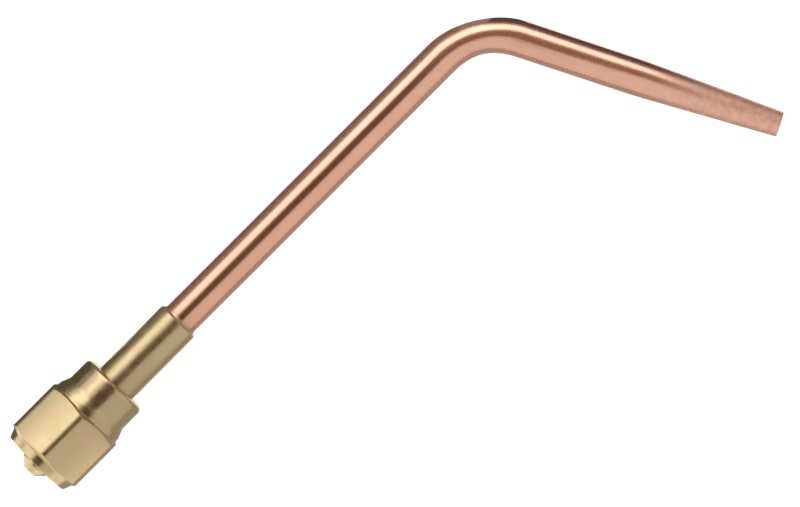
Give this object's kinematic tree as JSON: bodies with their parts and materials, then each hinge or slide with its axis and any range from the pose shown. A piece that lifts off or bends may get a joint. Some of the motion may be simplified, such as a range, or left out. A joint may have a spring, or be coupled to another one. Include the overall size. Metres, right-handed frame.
{
  "type": "gas welding nozzle",
  "caption": "Bent copper welding tip tube on a brass gas mixer, with a loose hexagon coupling nut that screws it to a torch handle.",
  "frame": {"origin": "on the mixer's axis, in the plane of the nut's mouth", "axes": "+X along the barrel from the nut's mouth to the bend, +Z square to the plane of the bend and up as the nozzle lies on its side, the tip turning towards -Y"},
  "size_m": [0.2011, 0.0857, 0.025],
  "materials": {
    "nut_brass": "satin machined",
    "mixer_brass": "satin turned",
    "tube_copper": "smooth drawn copper",
    "seal_rubber": "matt black"
  },
  "bodies": {
    "mixer": {"mixer_body": "mixer_brass", "front_seal_ring": "seal_rubber", "rear_seal_ring": "seal_rubber", "mixing_spiral": "mixer_brass", "tip_tube": "tube_copper"},
    "nut": {"coupling_nut": "nut_brass"}
  },
  "joints": [
    {"name": "nut_spin", "type": "hinge", "parent": "mixer", "child": "nut", "pos_m": [0, 0, 0], "axis": [1, 0, 0], "continuous": true}
  ]
}
